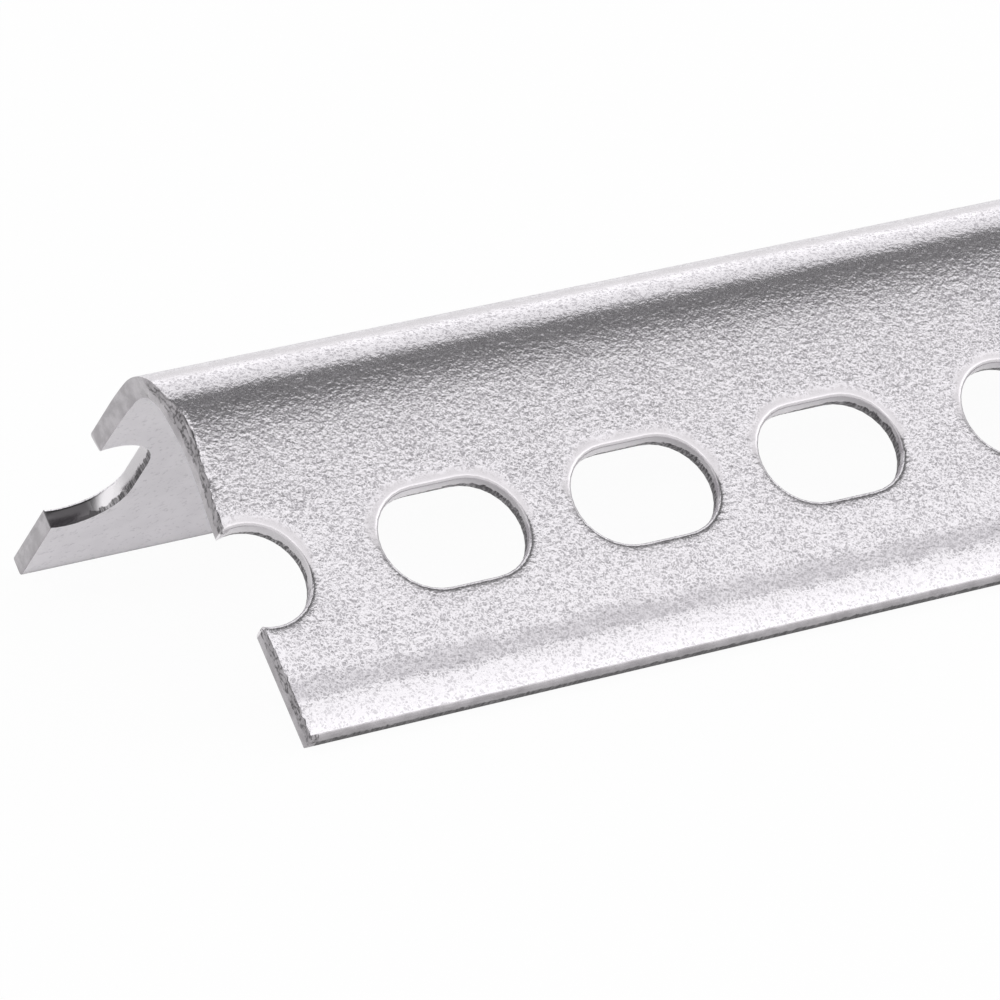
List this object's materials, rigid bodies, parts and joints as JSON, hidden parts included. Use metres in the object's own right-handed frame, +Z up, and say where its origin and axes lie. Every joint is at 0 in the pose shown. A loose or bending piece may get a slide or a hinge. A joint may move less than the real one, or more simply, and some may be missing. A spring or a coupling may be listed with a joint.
{
  "type": "slotted angle",
  "caption": "Zinc-plated steel angle stock, bent from strip, with a row of bolt slots and round holes punched in each leg.",
  "frame": {"origin": "middle of the footprint, on the floor that both free edges lie on", "axes": "+X along the length, away from the end that the picture shows; +Y across, from the front leg to the back leg; +Z up, through the bend"},
  "size_m": [0.9144, 0.0536, 0.0252],
  "materials": {
    "zinc_plated_steel": "satin"
  },
  "bodies": {
    "root": {"slotted_angle": "zinc_plated_steel"}
  },
  "joints": []
}
